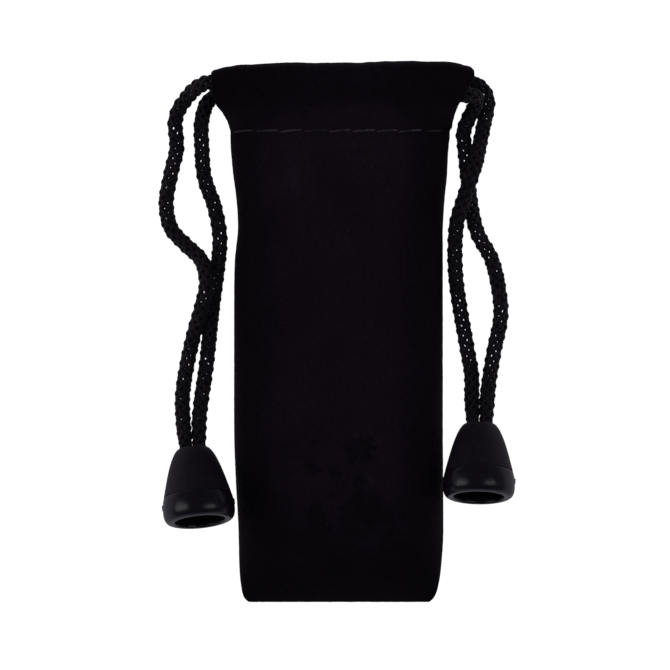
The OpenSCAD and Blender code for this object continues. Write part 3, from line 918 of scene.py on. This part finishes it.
def velvet():
    """Short black pile, with painted light over the middle of the body and painted shade down its sides and at
    its foot.
    """
    material, tree, shader = new_material("velvet")
    link = tree.links.new
    place = add(tree, "ShaderNodeTexCoord").outputs["Object"]
    noises = {name: noise_node(tree, place, *values) for name, values in VELVET_NOISES.items()}
    cloth_place = add(tree, "ShaderNodeAttribute", attribute_name="cloth_place")
    split = add(tree, "ShaderNodeSeparateXYZ")
    link(cloth_place.outputs["Vector"], split.inputs[0])
    wander = math_node(tree, "MULTIPLY_ADD", noises["broad"].outputs["Fac"], PLACE_WANDER, -PLACE_WANDER / 2)
    across = math_node(tree, "MULTIPLY_ADD", split.outputs["X"], 0.5, 0.5)
    across = math_node(tree, "ADD", across, wander)
    along = math_node(tree, "MULTIPLY_ADD", split.outputs["Y"], 0.5, 0.5)
    along = math_node(tree, "ADD", along, wander)
    # Painted light over the middle of the body and painted shade down its sides.
    painted_light_across = ramp(tree, across, PAINTED_LIGHT_ACROSS)
    tone_along = ramp(tree, along, TONE_ALONG)
    lightness = math_node(tree, "MULTIPLY", painted_light_across, tone_along)
    low_down = ramp(tree, along, LOW_DOWN)
    mottle = ramp(tree, noises["marks"].outputs["Fac"], MOTTLE)
    warp = add(tree, "ShaderNodeVectorMath", operation="MULTIPLY_ADD")
    link(noises["warp"].outputs["Color"], warp.inputs[0])
    warp.inputs[1].default_value = MARK_WARP
    warp.inputs[2].default_value = tuple(-w / 2 for w in MARK_WARP)
    warped = add(tree, "ShaderNodeVectorMath", operation="ADD")
    link(cloth_place.outputs["Vector"], warped.inputs[0])
    link(warp.outputs["Vector"], warped.inputs[1])
    nearest = mark_distance(tree, warped.outputs["Vector"], MARKS[0])
    for mark in MARKS[1:]:
        nearest = math_node(tree, "MINIMUM", nearest, mark_distance(tree, warped.outputs["Vector"], mark))
    ragged = math_node(tree, "MULTIPLY_ADD", noises["marks"].outputs["Fac"], MARK_RAGGED, -MARK_RAGGED / 2)
    nearest = math_node(tree, "MULTIPLY", math_node(tree, "ADD", nearest, ragged), 0.5)
    pressed = ramp(tree, nearest, PRESSED)
    dark_mark = math_node(tree, "MAXIMUM", math_node(tree, "MULTIPLY", low_down, mottle), pressed)
    spared = math_node(tree, "SUBTRACT", 1.0, dark_mark)
    lightness = math_node(tree, "MULTIPLY", lightness, spared)
    # Lit velvet where the lightness is high; painted shade, pressed marks and mottling where it is low.
    colour = blend_colour(tree, "MIX", lightness, VELVET_DARK, VELVET_LIGHT)
    colour = blend_colour(tree, "MULTIPLY", 1.0, colour, ramp(tree, along, FOOT_SHADE))
    for name, low, high in VELVET_SHADES:
        shade = ramp(tree, noises[name].outputs["Fac"], [(0.3, low), (0.7, high)])
        colour = blend_colour(tree, "MULTIPLY", 1.0, colour, shade)
    link(colour, shader.inputs["Base Color"])
    pile = math_node(tree, "ADD", noises["tufts"].outputs["Fac"], noises["grain"].outputs["Fac"])
    add_bump(tree, shader, pile, 0.6, 0.25 * MM)
    link(ramp(tree, noises["tufts"].outputs["Fac"], [(0.3, 0.98), (0.7, 0.88)]), shader.inputs["Roughness"])
    shader.inputs["Specular IOR Level"].default_value = 0.06
    shader.inputs["Sheen Weight"].default_value = 0.02
    shader.inputs["Sheen Roughness"].default_value = 0.45
    shader.inputs["Sheen Tint"].default_value = (0.85, 0.72, 0.95, 1)
    return material


YARN_DARK, YARN_LIGHT = (0.015, 0.0125, 0.0175), (0.036, 0.030, 0.042)
YARN_THREADS = 60.0


def braid_yarn():
    """Matt black yarn, with its fine threads running along it."""
    material, tree, shader = new_material("braid_yarn")
    link = tree.links.new
    yarn = add(tree, "ShaderNodeAttribute", attribute_name="yarn")
    split = add(tree, "ShaderNodeSeparateXYZ")
    link(yarn.outputs["Vector"], split.inputs[0])
    lay = add(tree, "ShaderNodeCombineXYZ")
    link(math_node(tree, "MULTIPLY", split.outputs["X"], YARN_THREADS), lay.inputs["X"])
    link(split.outputs["Y"], lay.inputs["Y"])
    link(split.outputs["Z"], lay.inputs["Z"])
    threads = noise_node(tree, lay.outputs[0], 1.0, 2.0)
    place = add(tree, "ShaderNodeTexCoord").outputs["Object"]
    patches = noise_node(tree, place, 160.0, 2.0)
    colour = ramp(tree, threads.outputs["Fac"], [(0.3, YARN_DARK), (0.7, YARN_LIGHT)])
    patchy = ramp(tree, patches.outputs["Fac"], [(0.35, 0.8), (0.7, 1.15)])
    link(blend_colour(tree, "MULTIPLY", 1.0, colour, patchy), shader.inputs["Base Color"])
    add_bump(tree, shader, threads.outputs["Fac"], 0.5, 0.08 * MM)
    link(ramp(tree, threads.outputs["Fac"], [(0.3, 0.68), (0.7, 0.52)]), shader.inputs["Roughness"])
    shader.inputs["Specular IOR Level"].default_value = 0.22
    return material


THREAD_DARK, THREAD_LIGHT = (0.05, 0.042, 0.055), (0.215, 0.187, 0.225)


def sewing_thread():
    """Light thread, rubbed dark in places."""
    material, tree, shader = new_material("sewing_thread")
    link = tree.links.new
    place = add(tree, "ShaderNodeTexCoord").outputs["Object"]
    fuzz = noise_node(tree, place, 2600.0, 3.0)
    colour = ramp(tree, fuzz.outputs["Fac"], [(0.3, THREAD_DARK), (0.7, THREAD_LIGHT)])
    wear = noise_node(tree, place, 210.0, 1.0)
    rubbed = ramp(tree, wear.outputs["Fac"], [(0.36, 0.35), (0.6, 1.15)])
    link(blend_colour(tree, "MULTIPLY", 1.0, colour, rubbed), shader.inputs["Base Color"])
    add_bump(tree, shader, fuzz.outputs["Fac"], 0.4, 0.06 * MM)
    shader.inputs["Roughness"].default_value = 0.7
    return material


BELL_BLACK = (0.020, 0.0155, 0.026)
RING_BLACK = (0.010, 0.0072, 0.0165)


def moulded_plastic(name, roughness, tint, gloss, bloom):
    """Moulded black plastic, with a faint bloom that lightens it where it turns away from the eye."""
    material, tree, shader = new_material(name)
    link = tree.links.new
    local = add(tree, "ShaderNodeAttribute", attribute_name="moulded").outputs["Vector"]
    orange_peel = noise_node(tree, local, 1.3, 3.0)
    scuffs = noise_node(tree, local, 0.45, 5.0, 0.7)
    dark = tuple(c * 0.8 for c in tint)
    light = tuple(c * 1.2 for c in tint)
    link(ramp(tree, scuffs.outputs["Fac"], [(0.35, dark), (0.65, light)]), shader.inputs["Base Color"])
    worn = ramp(tree, scuffs.outputs["Fac"], [(0.3, roughness - 0.05), (0.7, roughness + 0.07)])
    link(worn, shader.inputs["Roughness"])
    add_bump(tree, shader, orange_peel.outputs["Fac"], 0.12, 0.1 * MM)
    shader.inputs["Specular IOR Level"].default_value = gloss
    shader.inputs["Sheen Weight"].default_value = bloom
    shader.inputs["Sheen Roughness"].default_value = 0.3
    shader.inputs["Sheen Tint"].default_value = (0.9, 0.88, 1.0, 1)
    return material


def paint(pieces, material):
    """Gives pieces a material."""
    for piece in pieces:
        piece.data.materials.clear()
        piece.data.materials.append(material)


paint([*front_cloth.values(), *back_cloth.values()], velvet())
paint([cords[s][0] for s in cords] + [*knots.values()], braid_yarn())
paint([*front_stitches.values(), *back_stitches.values()], sewing_thread())
paint([b[0] for b in bells.values()], moulded_plastic("bell_plastic", 0.55, BELL_BLACK, 0.2, 0.03))
paint([b[1] for b in bells.values()], moulded_plastic("ring_plastic", 0.25, RING_BLACK, 0.55, 0.02))


# ---------------------------------------------------------------- table and light
TABLE_HALF = 3
LAMP_COLOUR = (0.96, 0.94, 1.0)
# The table doesn't show in gloss. In its place gloss sees the low part of the surroundings, which is about a
# quarter as bright as the table.
SKY_COLOUR = (0.93, 0.9, 1.0, 1)
SKY = 0.06
LOW_SKY = 0.27


def make_table():
    """A plain white table."""
    corners = [(x * TABLE_HALF, y * TABLE_HALF, TABLE) for x, y in ((-1, -1), (1, -1), (1, 1), (-1, 1))]
    table = mesh_piece("table", corners, [(0, 1, 2, 3)])
    material, tree, shader = new_material("white_table")
    shader.inputs["Base Color"].default_value = (0.93, 0.93, 0.93, 1)
    shader.inputs["Roughness"].default_value = 0.9
    shader.inputs["Emission Color"].default_value = (1, 1, 1, 1)
    shader.inputs["Emission Strength"].default_value = 1.0
    paint([table], material)
    table.visible_glossy = False


def softbox(name, place, size, power):
    """A rectangular lamp that looks at the middle of the pouch."""
    data = bpy.data.lights.new(name, "AREA")
    data.shape = "RECTANGLE"
    data.size, data.size_y = size
    data.energy = power
    data.color = LAMP_COLOUR
    lamp = bpy.data.objects.new(name, data)
    lamp.location = place
    lamp.rotation_euler = (-Vector(place)).to_track_quat("-Z", "Y").to_euler()
    scene.collection.objects.link(lamp)


def make_surroundings():
    """Dim surroundings, brighter below the horizon."""
    world = bpy.data.worlds.new("studio")
    world.use_nodes = True
    tree = world.node_tree
    background = tree.nodes["Background"]
    background.inputs["Color"].default_value = SKY_COLOUR
    direction = add(tree, "ShaderNodeSeparateXYZ")
    tree.links.new(add(tree, "ShaderNodeTexCoord").outputs["Generated"], direction.inputs[0])
    low = math_node(tree, "LESS_THAN", direction.outputs["Z"], 0.0)
    tree.links.new(math_node(tree, "MULTIPLY_ADD", low, LOW_SKY - SKY, SKY), background.inputs["Strength"])
    scene.world = world


make_table()
softbox("left_softbox", (-1.05, 0.06, 0.66), (0.55, 0.85), 1.5)
softbox("right_softbox", (0.74, 0.06, 1.0), (0.42, 0.7), 0.9)
make_surroundings()
scene.view_settings.view_transform = "Standard"
